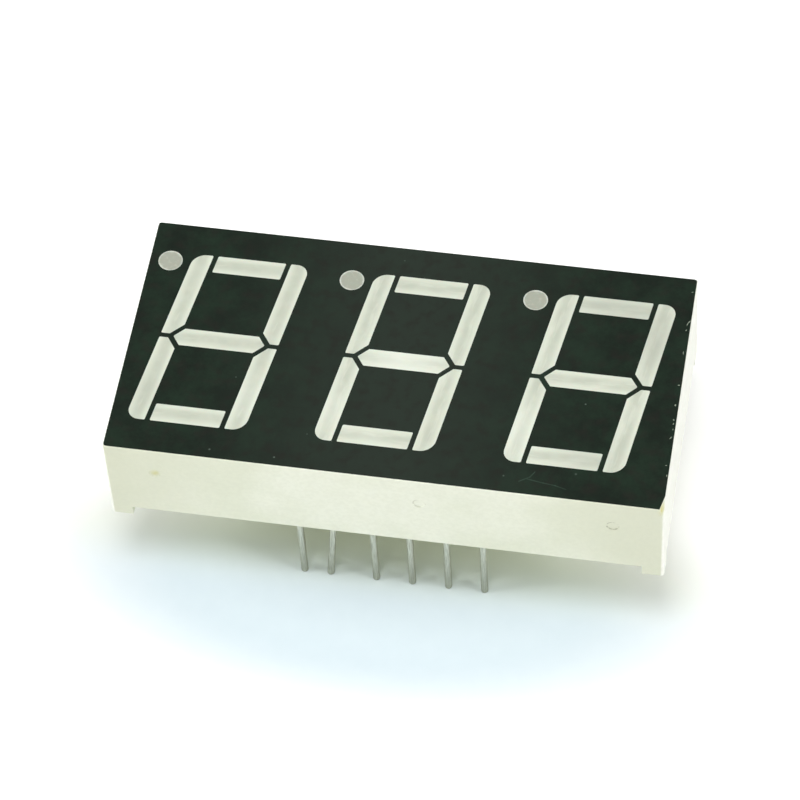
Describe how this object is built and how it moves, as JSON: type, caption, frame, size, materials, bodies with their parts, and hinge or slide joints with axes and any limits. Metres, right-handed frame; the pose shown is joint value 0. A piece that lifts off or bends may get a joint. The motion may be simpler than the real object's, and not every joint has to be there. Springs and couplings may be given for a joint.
{
  "type": "seven segment display",
  "caption": "Through-hole numeric LED display: leaning seven segment digits with decimal points in a white reflector housing with a dark printed face.",
  "frame": {"origin": "centre of the pin pattern, on the plane of the undersides of the four corner feet", "axes": "+X along the digits as they are read, +Y to the digits' tops, +Z out of the face"},
  "size_m": [0.038, 0.019, 0.0156],
  "materials": {
    "white_housing": "moulded, creamy white",
    "dark_ink": "printed, dark green black",
    "segment_resin": "cast, milky",
    "point_resin": "cast, milky, a little greyer",
    "board_laminate": "glass fibre laminate",
    "copper": "etched copper",
    "solder": "dull solder",
    "led_chip": "sawn semiconductor",
    "gold_wire": "drawn gold",
    "rear_resin": "cast, cloudy",
    "tinned_pin": "dull tin plate"
  },
  "bodies": {
    "root": {"housing": "white_housing", "face_ink": "dark_ink", "circuit_board": "board_laminate", "front_pads": "copper", "rear_lands": "copper", "solder_joints": "solder", "rear_resin": "rear_resin", "digit_1_segment_a": "segment_resin", "digit_1_segment_b": "segment_resin", "digit_1_segment_c": "segment_resin", "digit_1_segment_d": "segment_resin", "digit_1_segment_e": "segment_resin", "digit_1_segment_f": "segment_resin", "digit_1_segment_g": "segment_resin", "digit_2_segment_a": "segment_resin", "digit_2_segment_b": "segment_resin", "digit_2_segment_c": "segment_resin", "digit_2_segment_d": "segment_resin", "digit_2_segment_e": "segment_resin", "digit_2_segment_f": "segment_resin", "digit_2_segment_g": "segment_resin", "digit_3_segment_a": "segment_resin", "digit_3_segment_b": "segment_resin", "digit_3_segment_c": "segment_resin", "digit_3_segment_d": "segment_resin", "digit_3_segment_e": "segment_resin", "digit_3_segment_f": "segment_resin", "digit_3_segment_g": "segment_resin", "digit_1_point": "point_resin", "digit_2_point": "point_resin", "digit_3_point": "point_resin", "digit_1_led_chips": "led_chip", "digit_2_led_chips": "led_chip", "digit_3_led_chips": "led_chip", "digit_1_bond_wires": "gold_wire", "digit_2_bond_wires": "gold_wire", "digit_3_bond_wires": "gold_wire", "pin_1": "tinned_pin", "pin_2": "tinned_pin", "pin_3": "tinned_pin", "pin_4": "tinned_pin", "pin_5": "tinned_pin", "pin_6": "tinned_pin", "pin_7": "tinned_pin", "pin_8": "tinned_pin", "pin_9": "tinned_pin", "pin_10": "tinned_pin", "pin_11": "tinned_pin", "pin_12": "tinned_pin"}
  },
  "joints": []
}
